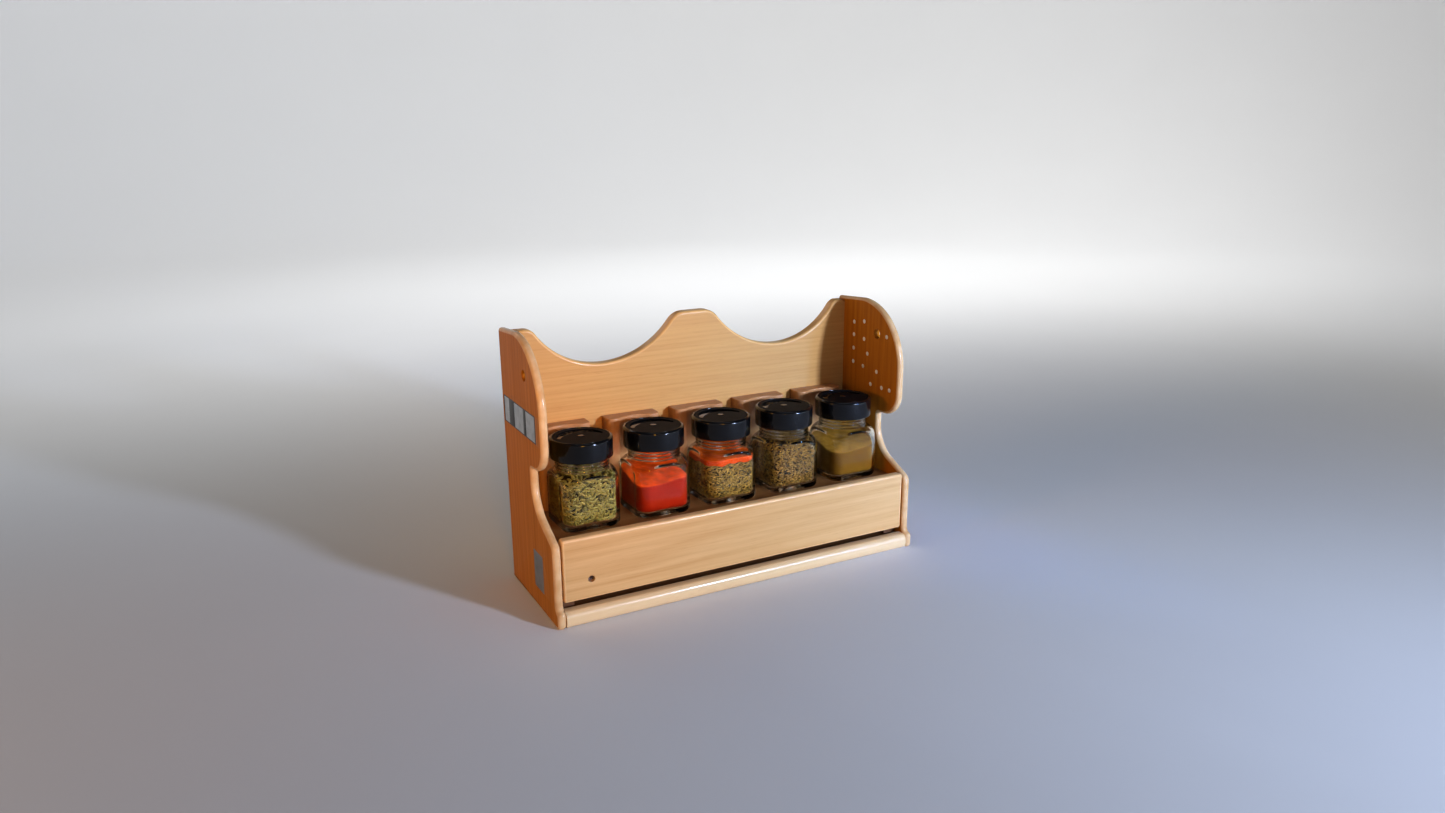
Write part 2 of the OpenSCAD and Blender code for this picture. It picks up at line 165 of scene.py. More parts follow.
def plate_mesh(outline, w0, w1, r, plane, holes=(), pockets=(), steps=5, pin=None):
    """A flat piece cut to an outline, its outer edges rounded to radius r and its holes crisp, thick
    along the axis plane. Pockets are (outline, depth) pairs sunk into its low face. pin(original,
    moved) may hold points of the outline in place."""
    rings = [clean(outline)]
    if area(rings[0]) < 0:
        rings[0] = rings[0][::-1]
    for h in holes:
        h = clean(h)
        rings.append(h[::-1] if area(h) > 0 else h)
    levels = []
    for k in range(steps + 1):
        t = 90 * k / steps
        levels.append((r * (1 - sin_of(t)), w0 + r * (1 - cos_of(t))))
    levels += [(d, w0 + w1 - w) for d, w in reversed(levels)]
    verts, edge = [], []
    for d, w in levels:
        for k, ring in enumerate(rings):
            moved = inset(ring, d if k == 0 else d * HOLE_FLARE)
            if pin is not None:
                moved = pin(ring, moved)
            verts.append(np.column_stack([moved, np.full(len(ring), w)]))
            edge += [0.0 if k > 0 or d > r * 0.99 else 1.0] * len(ring)
    total = sum(len(g) for g in rings)
    faces = []
    for k in range(len(levels) - 1):
        start = 0
        for ring in rings:
            n = len(ring)
            a, b = k * total + start, (k + 1) * total + start
            faces += wall(a, b, n)
            start += n
    low_caps = [(rings_at(verts[:len(rings)]), list(range(total)))]
    high = (len(levels) - 1) * total
    high_cap = (rings_at(verts[-len(rings):]), list(range(high, high + total)))
    for shape, depth in pockets:
        shape = clean(shape)
        n, start = len(shape), sum(len(v) for v in verts)
        verts += [np.column_stack([shape, np.full(n, w)]) for w in (w0, w0 + depth)]
        edge += [0.0] * 2 * n
        faces += wall(start, start + n, n)
        low_caps[0][0].extend(rings_at([shape]))
        low_caps[0][1].extend(range(start, start + n))
        low_caps.append((rings_at([shape]), list(range(start + n, start + 2 * n))))
    for loops, index in low_caps + [high_cap]:
        faces += [tuple(index[k] for k in t) for t in geometry.tessellate_polygon(loops)]
    flat = np.concatenate(verts)
    return flat[:, TO_FRAME[plane]], faces, edge


def rings_at(rings):
    """The rings as vectors at height 0, for filling in."""
    return [[Vector((*p[:2], 0)) for p in ring] for ring in rings]


def plate(name, material, outline, w0, w1, r, plane, **options):
    """A piece from plate_mesh, whose flat faces stay flat under smooth shading."""
    verts, faces, edge = plate_mesh(outline, w0, w1, r, plane, **options)
    o = make_object(name, verts, faces, material, edge)
    m = o.modifiers.new("weighted", "WEIGHTED_NORMAL")
    m.weight = 100
    m.keep_sharp = True
    return o


def board(name, material, lo, hi, r, plane, holes=()):
    """A rectangular board between two corners, with every edge rounded."""
    across, up, thick = FROM_FRAME[plane]
    outline = round_rect((lo[across], lo[up]), (hi[across], hi[up]), r * 1.02, 4)
    return plate(name, material, outline, lo[thick], hi[thick], r, plane, holes=holes)


def ring_faces(rows, n, closed_ends=True):
    """Quads between rows of n points each, with a fan at both ends onto one point each."""
    faces = []
    for k in range(rows - 1):
        a, b = k * n, (k + 1) * n
        faces += wall(a, b, n)
    if closed_ends:
        first, last = rows * n, rows * n + 1
        faces += [(first, (j + 1) % n, j) for j in range(n)]
        base = (rows - 1) * n
        faces += [(last, base + j, base + (j + 1) % n) for j in range(n)]
    return faces


def with_ends(rows, first, last):
    """The points of all rows, with a point on the axis for either end."""
    return np.concatenate(rows + [np.array([[0, 0, first], [0, 0, last]])])


def lathe(name, material, profile, centre, n, axis="z"):
    """A closed turned shape: (radius, height) points from its lower middle to its upper middle."""
    rows = [row_at(r, turns(n), h) for r, h in profile]
    verts = with_ends(rows, profile[0][1], profile[-1][1])[:, TO_FRAME[axis]] + np.array(centre)
    return make_object(name, verts, ring_faces(len(profile), n), material)


def join(name, objects):
    """Several objects as one piece."""
    bpy.ops.object.select_all(action="DESELECT")
    for o in objects:
        o.select_set(True)
    bpy.context.view_layer.objects.active = objects[0]
    bpy.ops.object.join()
    objects[0].name = name
    objects[0].data.name = name
    return objects[0]


def settle(o, body, slot, *nodes):
    """The piece rides on its body and stands for its CAD nodes. The slot is not used."""
    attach(o, body)
    if nodes:
        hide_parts(*nodes)
    return o


# ---- materials


class Nodes:
    """Short calls for building one material."""

    def __init__(self, name):
        self.material = bpy.data.materials.new(name)
        self.material.use_nodes = True
        self.tree = self.material.node_tree
        self.tree.nodes.clear()
        self.out = self.tree.nodes.new("ShaderNodeOutputMaterial")

    def add(self, kind, inputs=None, **settings):
        n = self.tree.nodes.new(kind)
        for k, v in settings.items():
            setattr(n, k, v)
        for k, v in (inputs or {}).items():
            self.put(n, k, v)
        return n

    def put(self, n, key, value):
        socket = n.inputs[key]
        if isinstance(value, bpy.types.NodeSocket):
            self.tree.links.new(value, socket)
        else:
            socket.default_value = (*value, 1) if socket.type == "RGBA" else value

    def math(self, operation, a, b=0.0):
        return self.add("ShaderNodeMath", {0: a, 1: b}, operation=operation).outputs[0]

    def sum_of(self, *terms, offset=0.0):
        """The terms (socket, share) times their shares, added up."""
        total = offset
        for socket, share in terms:
            n = self.add("ShaderNodeMath", {0: socket, 1: share, 2: total}, operation="MULTIPLY_ADD")
            total = n.outputs[0]
        return total

    def mix(self, factor, a, b):
        n = self.add("ShaderNodeMix", data_type="RGBA")
        self.put(n, "Factor", factor)
        self.put(n, 6, a)
        self.put(n, 7, b)
        return n.outputs[2]

    def attribute(self, name):
        return self.add("ShaderNodeAttribute", attribute_name=name).outputs["Fac"]

    def ramp(self, value, *stops):
        """Stops are (place, colour) pairs; a plain number is a grey."""
        n = self.add("ShaderNodeValToRGB", {0: value})
        e = n.color_ramp.elements
        while len(e) < len(stops):
            e.new(0.5)
        for item, (at, colour) in zip(e, stops):
            item.position = at
            item.color = (*colour, 1) if isinstance(colour, tuple) else (colour, colour, colour, 1)
        return n.outputs[0]

    def noise(self, vector, scale, detail=3.0, rough=0.55, distortion=0.0):
        return self.add("ShaderNodeTexNoise", {
            "Vector": vector, "Scale": scale, "Detail": detail,
            "Roughness": rough, "Distortion": distortion}).outputs[0]

    def place(self, location=(0, 0, 0), scale=(1, 1, 1)):
        """Places in the shared frame; a scale below 1 along an axis draws a pattern out along it."""
        at = self.add("ShaderNodeTexCoord").outputs["Object"]
        return self.add("ShaderNodeMapping", {
            "Vector": at, "Location": location, "Scale": scale}).outputs[0]

    def bump(self, height, distance, strength=1.0, normal=None):
        inputs = {"Height": height, "Distance": distance, "Strength": strength}
        if normal is not None:
            inputs["Normal"] = normal
        return self.add("ShaderNodeBump", inputs).outputs[0]

    def surface(self, **inputs):
        n = self.add("ShaderNodeBsdfPrincipled")
        for k, v in inputs.items():
            self.put(n, k.replace("_", " "), v)
        self.tree.links.new(n.outputs[0], self.out.inputs[0])
        return self.material


def shade(colour, factor, lift=0.0):
    """The colour made darker or lighter, no brighter than 1."""
    return tuple(min(1.0, c * factor + lift) for c in colour)


ACROSS = {"x": Vector((0, 0.8, 1)), "y": Vector((0.8, 0, 1)), "z": Vector((0.8, 1, 0))}


def drawn_out(grain, share):
    """A scale that draws a pattern out along the grain."""
    return tuple(share if axis == grain else 1.0 for axis in "xyz")


def wood(name, light, dark, grain, seed, rate=120, sway=12.0, contrast=0.5, gloss=0.36, coat=0.25,
         edge_wear_and_highlight=None, shine=0.3):
    """Growth rings as long bands (rate of them per metre, bent by sway), fibres and pores along the
    grain, faint drifts of tone, and paler edges: wear, and with the cream edge colour also a painted
    highlight."""
    m = Nodes(name)
    long_space = m.place((seed * 0.37, seed * 0.11, seed * 0.23), drawn_out(grain, 0.05))
    across = m.add("ShaderNodeVectorMath", {0: long_space, 1: ACROSS[grain] * rate},
                   operation="DOT_PRODUCT").outputs["Value"]
    swell = m.noise(long_space, 7, 1.2, 0.45, 0.3)
    ripple = m.noise(long_space, 60, 2, 0.5)
    phase = m.sum_of((across, 1.0), (swell, sway), (ripple, 0.9))
    rings = m.ramp(m.math("FRACT", phase), (0.0, 0.45), (0.2, 0.15), (0.55, 0.25), (0.85, 0.8), (1.0, 0.45))
    fibre_space = m.place((seed, 0, 0), drawn_out(grain, 0.03))
    fibres = m.noise(fibre_space, 900, 3, 0.6)
    streaks = m.noise(fibre_space, 210, 3, 0.6)
    pore_space = m.place((seed, 2, 0), drawn_out(grain, 0.05))
    pores = m.ramp(m.noise(pore_space, 1500, 1, 0.5), (0.66, 0.0), (0.74, 1.0))
    drift = m.noise(m.place((seed, seed, 0), drawn_out(grain, 0.2)), 9, 2, 0.5)
    tone = m.sum_of((rings, contrast * 0.45), (streaks, contrast * 1.5), (fibres, contrast * 0.7))
    base = m.mix(m.math("SUBTRACT", tone, contrast * 0.9), light, dark)
    warm = (light[0], light[1] * 0.84, light[2] * 0.62)
    base = m.mix(m.ramp(drift, (0.35, 0.0), (0.7, 0.3)), base, warm)
    base = m.mix(m.math("MULTIPLY", pores, 0.3), base, dark)
    worn = m.attribute("edge")
    # paler edges: wear, and with the cream colour also a painted highlight along the rounded edges
    edge_wear_and_highlight_mask = m.math("MULTIPLY", worn, m.ramp(m.noise(m.place(), 70, 3), (0.3, 0.45), (0.7, 0.85)))
    base = m.mix(edge_wear_and_highlight_mask, base, edge_wear_and_highlight or shade(light, 1.25, 0.03))
    rough = m.sum_of((streaks, 0.22), (fibres, 0.1), offset=gloss - 0.13)
    bump = m.bump(fibres, 0.00006, 0.5)
    bump = m.bump(pores, 0.00006, -0.5, bump)
    return m.surface(Base_Color=base, Roughness=rough, Normal=bump, Specular_IOR_Level=shine,
                     Coat_Weight=m.math("MULTIPLY", worn, coat), Coat_Roughness=0.16)


def gloss_plastic(name, colour, rough, coat, shine=0.32):
    """Moulded black plastic: a faint flow haze, dust specks and hairline scuffs."""
    m = Nodes(name)
    haze = m.noise(m.place(), 60, 3)
    scuff = m.noise(m.place(scale=(1, 14, 3)), 240, 2)
    base = m.mix(m.ramp(haze, (0.45, 0.0), (0.75, 0.35)), colour, shade(colour, 2.2, 0.004))
    worn = m.math("MULTIPLY", m.ramp(scuff, (0.6, 0), (0.72, 1)), 0.14)
    roughness = m.sum_of((haze, 0.1), (worn, 1.0), offset=rough - 0.05)
    bump = m.bump(m.noise(m.place(), 900, 2), 0.00001, 0.35)
    return m.surface(Base_Color=base, Roughness=roughness, Normal=bump, Coat_Weight=coat,
                     Coat_Roughness=0.06, Specular_IOR_Level=shine)


def matt_plastic(name, colour):
    """Moulded white plastic, faintly mottled and orange-peeled."""
    m = Nodes(name)
    mottle = m.noise(m.place(), 400, 3)
    base = m.mix(m.math("MULTIPLY", mottle, 0.25), colour, shade(colour, 0.72))
    bump = m.bump(m.noise(m.place(), 2500, 2), 0.00002, 0.4)
    return m.surface(Base_Color=base, Roughness=0.5, Normal=bump)


def metal(name, colour, brushed, rough):
    """Metal with fine lines along one axis, or none, and a little tarnish in patches."""
    m = Nodes(name)
    lines = m.noise(m.place(scale=drawn_out(brushed, 0.03)), 1800, 2, 0.6)
    patch = m.noise(m.place(), 110, 3)
    base = m.mix(m.ramp(patch, (0.4, 0.0), (0.8, 0.7)), colour, shade(colour, 0.55))
    worn = m.attribute("edge")
    base = m.mix(m.math("MULTIPLY", worn, 0.3), base, shade(colour, 1.25))
    bump = m.bump(lines, 0.00002, 0.5)
    return m.surface(Base_Color=base, Metallic=0.95, Normal=bump,
                     Roughness=m.sum_of((lines, 0.28), offset=rough - 0.08))


def glass(name):
    """Pressed jar glass: faint green, slightly wavy, and clear to lamps so that the spice is lit."""
    m = Nodes(name)
    wave = m.noise(m.place(), 45, 2, 0.4)
    bump = m.bump(wave, 0.0004, 0.25)
    m.surface(Base_Color=(0.965, 0.99, 0.975), Roughness=0.015, IOR=1.5,
              Transmission_Weight=1.0, Specular_Tint=(0.42, 0.44, 0.47), Normal=bump)
    body = m.tree.nodes["Principled BSDF"]
    clear = m.add("ShaderNodeBsdfTransparent", {"Color": (0.69, 0.72, 0.70)})
    ray = m.add("ShaderNodeLightPath").outputs["Is Shadow Ray"]
    both = m.add("ShaderNodeMixShader", {0: ray, 1: body.outputs[0], 2: clear.outputs[0]})
    m.tree.links.new(both.outputs[0], m.out.inputs[0])
    return m.material


def seeds_material(name, pale, mid, deep):
    """Dry seeds: each its own tone, paler ribs, dusty matt skin."""
    m = Nodes(name)
    base = m.ramp(m.attribute("tint"), (0.0, deep), (0.12, deep), (0.45, mid), (1.0, pale))
    fleck = m.noise(m.place(), 1500, 3, 0.6)
    base = m.mix(m.ramp(fleck, (0.35, 0.5), (0.6, 0.0)), base, deep)
    bump = m.bump(fleck, 0.00008, 0.5)
    return m.surface(Base_Color=base, Roughness=0.62, Normal=bump, Specular_IOR_Level=0.18)


def powder(name, colour, deep, bright):
    """Ground spice: its colour against the glass, a painted lit top that is brighter where the surface faces
    up, darker drifts, and paler and darker grains.
    """
    m = Nodes(name)
    grain = m.noise(m.place(), 2600, 3, 0.7)
    drift = m.noise(m.place(), 130, 3, 0.55)
    normal_for_painted_top = m.add("ShaderNodeNewGeometry").outputs["True Normal"]
    up = m.add("ShaderNodeSeparateXYZ", {0: normal_for_painted_top}).outputs["Z"]
    # painted light: surfaces that face up take the bright colour, as a lit top
    base = m.mix(m.ramp(up, (0.3, 0.0), (0.8, 1.0)), colour, bright)
    base = m.mix(m.ramp(drift, (0.3, 0.55), (0.65, 0.0)), base, deep)
    base = m.mix(m.ramp(grain, (0.52, 0.0), (0.72, 0.45)), base, bright)
    base = m.mix(m.ramp(grain, (0.28, 0.6), (0.42, 0.0)), base, deep)
    bump = m.bump(grain, 0.00018, 0.8)
    bump = m.bump(drift, 0.0004, 0.4, bump)
    return m.surface(Base_Color=base, Roughness=0.9, Normal=bump, Specular_IOR_Level=0.04)


HONEY = (0.72, 0.43, 0.155)
HONEY_DARK = (0.51, 0.23, 0.055)
# side board wood, deeper and darker than the panel's as painted shade on their faces
SIDE_PAINTED_SHADE = (0.55, 0.215, 0.020)
SIDE_DARK_PAINTED_SHADE = (0.32, 0.090, 0.006)
FRONT = (0.73, 0.46, 0.21)
FRONT_DARK = (0.54, 0.27, 0.085)
BOX = (0.42, 0.21, 0.085)
BOX_DARK = (0.24, 0.10, 0.035)
RAIL = (0.86, 0.65, 0.38)
# cream for the rounded edges: wear, and also a painted highlight for their bright band
CREAM_WEAR_AND_HIGHLIGHT = (0.86, 0.61, 0.34)
# jar rest wood, darker than the panel as painted shade for the jars' shadow
REST_PAINTED_SHADE = (0.50, 0.25, 0.10)
REST_DARK_PAINTED_SHADE = (0.30, 0.13, 0.045)
DOWEL = (0.62, 0.44, 0.25)
DOWEL_DARK = (0.42, 0.26, 0.12)

# side boards: wood darkened as painted shade, with cream edges that are partly a painted highlight
side_wood_painted_shade = {
    f"{side}_side": wood(f"side_wood_painted_shade_{side}", SIDE_PAINTED_SHADE, SIDE_DARK_PAINTED_SHADE, "z", seed, 110, 16, 0.7, 0.3, 0.5, CREAM_WEAR_AND_HIGHLIGHT, 0.05)
    for side, seed in (("left", 1), ("right", 4))
}
panel_wood = wood("panel_wood", HONEY, HONEY_DARK, "x", 2, 260, 14, 0.6)
front_wood = wood("front_wood", FRONT, FRONT_DARK, "x", 6, 70, 16, 0.75)
rail_wood = wood("rail_wood", RAIL, FRONT_DARK, "x", 9, 110, 8, 0.7, 0.3, 0.5, CREAM_WEAR_AND_HIGHLIGHT)
# shelf wood dark as painted shade, for the shadow under and between the jars
shelf_wood_painted_shade = wood("shelf_wood_painted_shade", (0.36, 0.16, 0.05), (0.20, 0.075, 0.02), "x", 3)
# base board and runners nearly black as painted shade, for the dark gap under the drawer front
base_wood_painted_shade = wood("base_wood_painted_shade", (0.20, 0.09, 0.03), (0.12, 0.045, 0.014), "x", 5)
runner_wood_painted_shade = wood("runner_wood_painted_shade", (0.16, 0.07, 0.025), (0.08, 0.03, 0.01), "y", 13)
box_wood = wood("drawer_box_wood", BOX, BOX_DARK, "x", 7, 110, 10, 0.45, 0.6, 0.0)
box_side_wood = wood("drawer_side_wood", BOX, BOX_DARK, "y", 8, 110, 10, 0.45, 0.6, 0.0)
# jar rests: dark wood as painted shade
rest_wood = wood("rest_wood", REST_PAINTED_SHADE, REST_DARK_PAINTED_SHADE, "z", 11, 160, 12, 0.6, 0.34, 0.3)
dowel_wood = wood("dowel_wood", DOWEL, DOWEL_DARK, "x", 12, 300, 4, 0.3, 0.6, 0.0)
# black strip: painted shade, standing for the dark of a deep recess behind the tiles
strip_black = gloss_plastic("strip_black", (0.012, 0.012, 0.013), 0.3, 0.1)
cap_black = gloss_plastic("cap_black", (0.0035, 0.0035, 0.0045), 0.14, 0.25)
dial_black = gloss_plastic("dial_black", (0.005, 0.005, 0.006), 0.45, 0.0, 0.03)
tile_metal = metal("tile_metal", (0.62, 0.64, 0.66), "z", 0.3)
plate_metal = metal("plate_metal", (0.36, 0.40, 0.44), "z", 0.32)
pin_brass = metal("pin_brass", (0.72, 0.50, 0.20), "none", 0.28)
screw_steel = metal("screw_steel", (0.30, 0.22, 0.19), "none", 0.4)
plug_white = matt_plastic("plug_white", (0.86, 0.84, 0.80))
seal_white = matt_plastic("seal_white", (0.80, 0.80, 0.78))
jar_clear = glass("jar_glass")

# ---- outlines, in millimetres

SLOPE = 66
FOOT_U = 124.5


def side_outline():
    """(distance forward of the back, height), in millimetres: foot, brow, curl, notch and lobe."""
    depth = (side_hi.y - side_lo.y) / MM
    curl_u, curl_z, curl_r = 109.0, 119.0, 34.0
    end_u = curl_u - curl_r * cos_of(SLOPE)
    end_z = curl_z - curl_r * sin_of(SLOPE)
    brow_r = 9.0
    top_u = FOOT_U - brow_r + brow_r * cos_of(SLOPE)
    top_z = end_z - (top_u - end_u) / math.tan(math.radians(SLOPE))
    brow_z = top_z - brow_r * sin_of(SLOPE)
    nose = depth - 4.5
    return (
        arc(1.5, 1.5, 1.5, 180, 270, 3)
        + arc(nose, 4.5, 4.5, -90, 0, 10) + arc(nose, 12, 4.5, 0, 50, 6)
        + arc(FOOT_U + 6, 21, 6, 230, 180, 8)
        + arc(FOOT_U - brow_r, brow_z, brow_r, 0, SLOPE, 12)
        + arc(curl_u, curl_z, curl_r, 180 + SLOPE, 180, 24)
        + arc(78, 129, 3, 180, 90, 6)
        + arc(84, 156.5, 24, -90, 0, 20)
        + arc(43, 182, 65, 0, 90, 48)
        + arc(1.5, 242.5, 1.5, 90, 180, 3)
    )


def hollow_r(a, b, r):
    """Radius of the hollow arc that leaves a corner of radius r and is level at (a, b) from its centre."""
    return (a * a + b * b - r * r) / (2 * (r - b))


def panel_outline():
    """The scalloped back panel, (x, z) in millimetres."""
    crest, dip, horn = (10.0, 244.5, 20.0), (97.0, 202.5), (172.2, 241.5, 12.0)
    shift = 3.5
    inner = INNER_X / MM
    a, b = dip[0] - crest[0], dip[1] - (crest[1] - crest[2])
    r_in = hollow_r(a, b, crest[2])
    turn_in = math.degrees(math.atan2(b + r_in, a))
    a, b = horn[0] - dip[0], dip[1] - (horn[1] - horn[2])
    r_out = hollow_r(a, b, horn[2])
    turn_out = math.degrees(math.atan2(b + r_out, a))
    half = (
        arc(crest[0], crest[1] - crest[2], crest[2], 90, turn_in, 14)
        + arc(dip[0], dip[1] + r_in, r_in, 180 + turn_in, 270, 24)
        + arc(dip[0], dip[1] + r_out, r_out, 270, 360 - turn_out, 24)
        + arc(horn[0], horn[1] - horn[2], horn[2], 180 - turn_out, 90, 14)
    )
    right = [(shift + x, z) for x, z in half[::-1]]
    left = [(shift - x, z) for x, z in half]
    return [(inner, 0.0), (inner, horn[1])] + right + left + [(-inner, horn[1]), (-inner, 0.0)]


def metres(points):
    return [(a * MM, b * MM) for a, b in points]


def from_back(points):
    """(distance forward, height) in millimetres as (y, z) in metres."""
    return [(BACK_Y - u * MM, z * MM) for u, z in points]


# ---- the wooden stand


def side_rect(lo, hi, r):
    """A box seen from the side, with corners of r millimetres."""
    return round_rect((lo.y, lo.z), (hi.y, hi.z), r * MM)


def side_boards():
    hole = from_back(circle(70, 213.5, 5, 40))
    inlays = [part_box("side_strip"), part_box("label_plate")]
    sunk = [(side_rect(lo, hi, 0.7), hi.x - lo.x) for lo, hi in inlays]
    pockets = {"left_side": sunk, "right_side": ()}
    for name in ("left_side", "right_side"):
        lo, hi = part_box(name)
        o = plate(f"{name}_board", side_wood_painted_shade[name], from_back(side_outline()), lo.x, hi.x,
                  3.1 * MM, "x", holes=[hole], pockets=pockets[name], steps=6)
        settle(o, "root", "board_wood", name)


def back_board():
    """The back panel, left full where it meets the side boards and at its foot."""
    near = 1e-6

    def pin(ring, moved):
        ends = np.abs(np.abs(ring[:, 0]) - INNER_X) < near
        moved[ends, 0] = ring[ends, 0]
        low = ring[:, 1] < near
        moved[low, 1] = ring[low, 1]
        return moved

    o = plate("back_panel_board", panel_wood, metres(panel_outline()), panel_lo.y, panel_hi.y,
              2.6 * MM, "y", pin=pin)
    settle(o, "root", "panel_wood", "back_panel")


def front_rail():
    lo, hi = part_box("front_rail")
    nose = 5.5 * MM
    flat = 0.4 * MM
    outline = (
        arc(lo.y + nose, lo.z + nose, nose, 180, 270, 8)
        + arc(hi.y - flat, lo.z + flat, flat, 270, 360, 2)
        + arc(hi.y - flat, hi.z - flat, flat, 0, 90, 2)
        + arc(lo.y + nose, hi.z - nose, nose, 90, 180, 8)
    )
    o = plate("front_rail_bar", rail_wood, outline, lo.x, hi.x, 0.3 * MM, "x", steps=2)
    settle(o, "root", "rail_wood", "front_rail")


def plain_board(node, material, slot, body, r, plane):
    lo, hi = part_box(node)
    settle(board(f"{node}_board", material, lo, hi, r * MM, plane), body, slot, node)


def jar_rests():
    """A block with round front corners and a hollow front, its top edge eased."""
    for i in JARS:
        lo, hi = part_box(f"jar_rest_{i}")
        mid, r = (lo.x + hi.x) / 2, 6 * MM
        scoop_r, scoop = 30 * MM, 5 * MM
        centre_y = lo.y + scoop - scoop_r
        reach = math.degrees(math.acos((lo.y - centre_y) / scoop_r))
        lip = 1.2 * MM
        outline = (
            [(hi.x, hi.y), (lo.x, hi.y)]
            + arc(lo.x + r, lo.y + r, r, 180, 270, 6)
            + arc(mid, centre_y, scoop_r, 90 + reach, 90 - reach, 18)
            + arc(hi.x - r, lo.y + r, r, 270, 360, 6)
        )
        o = plate(f"jar_rest_{i}_block", rest_wood, outline, lo.z, hi.z, lip, "z", steps=4)
        settle(o, "root", "rest_wood", f"jar_rest_{i}")


def drawer():
    lo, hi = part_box("drawer_front")
    hole = circle(-155.6 * MM, 38.7 * MM, 3 * MM, 32)
    settle(board("drawer_front_board", front_wood, lo, hi, 2.4 * MM, "y", [hole]),
           "drawer", "rail_wood", "drawer_front")
    for part, material, r, plane in (
            ("side_left", box_side_wood, 0.6, "x"), ("side_right", box_side_wood, 0.6, "x"),
            ("back", box_wood, 0.6, "y"), ("bottom", box_wood, 0.3, "z"),
            ("corner_block", box_wood, 0.5, "z")):
        plain_board(f"drawer_{part}", material, "drawer_wood", "drawer", r, plane)


def drawer_screw():
    """A cross-head screw at the bottom of its counterbore."""
    lo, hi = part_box("drawer_front_screw")
    x, z = (lo.x + hi.x) / 2, (lo.z + hi.z) / 2
    arm, half = 1.7, 0.42
    quarter = [(arm, -half), (arm, half), (half, half)]
    quarters = ((1, 0), (0, 1), (-1, 0), (0, -1))
    cross = [(x + (a * c - b * s) * MM, z + (a * s + b * c) * MM) for c, s in quarters for a, b in quarter]
    seat = lo.y + 1.1 * MM
    head = plate("screw_head", screw_steel, circle(x, z, 2.85 * MM, 32), lo.y, seat,
                 0.18 * MM, "y", holes=[cross], steps=3)
    profile = [(2.8 * MM, seat), (2.8 * MM, lo.y + 1.9 * MM), (1.6 * MM, lo.y + 3 * MM),
               (1.6 * MM, hi.y - 2 * MM), (0.2 * MM, hi.y - 0.1 * MM)]
    shank = lathe("screw_shank", screw_steel, profile, (x, 0, z), 24, "y")
    settle(join("drawer_screw", [head, shank]), "drawer", "screw_steel", "drawer_front_screw")


# ---- trim


TILES = ((7, 21), (36, 62), (69, 92.5))
TILE_PINS = ((14, 160.8), (49, 180.2), (72, 161.2))
PLUGS = ((30.5, 220), (30.5, 206.5), (30.5, 192), (30.5, 177.5), (48, 223), (48.5, 204.5), (55, 190),
         (48, 175.5), (62, 159), (81, 159), (94, 159), (86.5, 213), (71.5, 174))
PIN_R, PLUG_R = 1.1, 2.5


def strip_and_tiles():
    """The strip of the left board, black as painted shade for a deep recess, with its metal tiles, sunk in
    it, and their pins.
    """
    lo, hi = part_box("side_strip")
    z0, z1 = lo.z + 1 * MM, hi.z - 1 * MM
    deep = 0.7 * MM

    def spot(tile, r):
        return round_rect((BACK_Y - tile[1] * MM, z0), (BACK_Y - tile[0] * MM, z1), r * MM)

    o = plate("side_strip_bar", strip_black, side_rect(lo, hi, 0.6), lo.x, hi.x, 0.25 * MM, "x",
              pockets=[(spot(t, 0.8), deep) for t in TILES], steps=3)
    settle(o, "root", "strip_black", "side_strip")
    made = [plate(f"side_tile_part_{k}", tile_metal, spot(t, 0.9), lo.x, lo.x + deep, 0.22 * MM, "x", steps=3)
            for k, t in enumerate(TILES)]
    settle(join("side_tile_set", made), "root", "tile_metal", "side_tiles")
    pins = [dome(f"tile_pin_{k}", pin_brass, lo.x, u, z, PIN_R) for k, (u, z) in enumerate(TILE_PINS)]
    settle(join("side_tile_pin_set", pins), "root", "pin_brass", "side_tile_pins")


def low_plate():
    lo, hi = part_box("label_plate")
    o = plate("label_plate_sheet", plate_metal, side_rect(lo, hi, 1.2), lo.x, hi.x, 0.3 * MM, "x", steps=3)
    settle(o, "root", "plate_metal", "label_plate")
    settle(dome("label_pin", pin_brass, lo.x, 82, 48, PIN_R), "root", "pin_brass", "label_plate_pin")


def hole_plugs():
    top = INNER_X - 0.4 * MM
    plugs = [dome(f"plug_{k}", plug_white, top, u, z, PLUG_R) for k, (u, z) in enumerate(PLUGS)]
    settle(join("hole_plug_set", plugs), "root", "plug_white", "hole_plugs")


def dome(name, material, x, u, z, r):
    """A small round head that faces along -X, its highest point at x."""
    r *= MM
    rise = 0.28 * r
    profile = [(r * 0.98, x + 1.2 * MM), (r, x + rise)]
    profile += [(r * cos_of(a), x + rise * (1 - sin_of(a))) for a in (15, 30, 45, 60, 75, 86)]
    return lathe(name, material, profile, (0, BACK_Y - u * MM, z * MM), 24, "x")


# ---- jars

# millimetres; the outside is a square of width JAR_W up to SHOULDER_H and round from NECK_FOOT on
JAR_W, JAR_R, JAR_H = 56.0, 12.5, 77.5
WALL = 2.5
NECK_R, BORE_R, NECK_FOOT = 23.6, 20.8, 51.5
SHOULDER_H = 37.0
FLOOR = 4.5
HEEL = 4.0
AROUND = 144
STRAIGHT_H = 20


def square_radius(angles, w, r):
    """Polar radius of a round-cornered square of width w."""
    c, s = np.abs(np.cos(angles)), np.abs(np.sin(angles))
    big, small = np.maximum(c, s), np.minimum(c, s)
    h = w / 2
    k = h - r
    b = k * (big + small)
    corner = b + np.sqrt(np.maximum(b * b - (2 * k * k - r * r), 0))
    return np.where(small * h <= big * k, h / big, corner)


def soft_min(a, b, k):
    """The smaller of the two, blended over k where they are close."""
    h = np.clip(0.5 + 0.5 * (b - a) / k, 0, 1)
    return b * (1 - h) + a * h - k * h * (1 - h)


REACH = (JAR_W / 2 - JAR_R) * math.sqrt(2) + JAR_R


